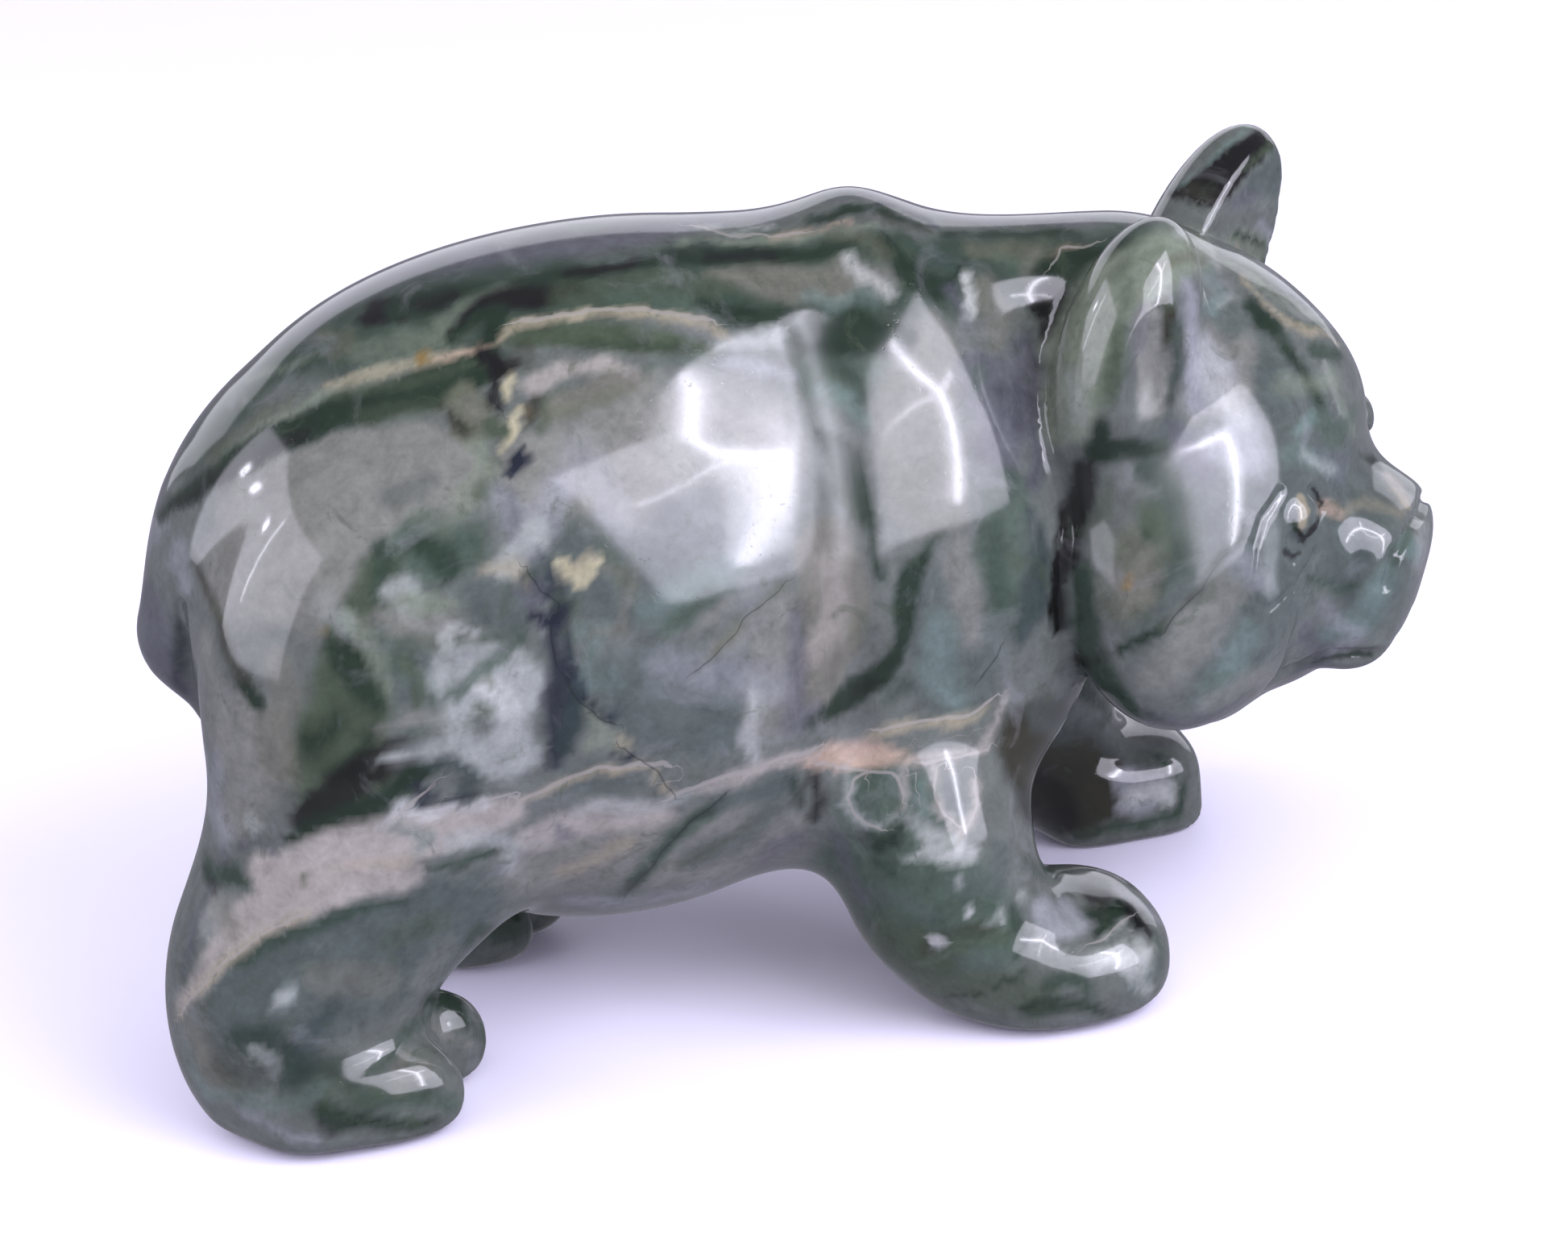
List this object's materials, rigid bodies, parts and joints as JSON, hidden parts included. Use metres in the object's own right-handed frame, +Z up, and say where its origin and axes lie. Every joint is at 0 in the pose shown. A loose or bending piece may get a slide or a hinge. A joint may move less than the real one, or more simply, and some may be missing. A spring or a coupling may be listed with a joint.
{
  "type": "carved stone panda figurine",
  "caption": "Walking panda figurine carved from one piece of polished green and grey veined stone, head turned to its right, standing on four flat soles.",
  "frame": {"origin": "on the floor under the middle of the figure's box", "axes": "+X forward from tail to head, +Y towards the animal's left side, +Z up; the soles rest on z = 0"},
  "size_m": [0.1112, 0.0517, 0.0666],
  "materials": {
    "stone": "polished opaque green and grey stone with dark green bands, pale clouds and fine ochre and beige veins"
  },
  "bodies": {
    "root": {"panda_carving": "stone"}
  },
  "joints": []
}
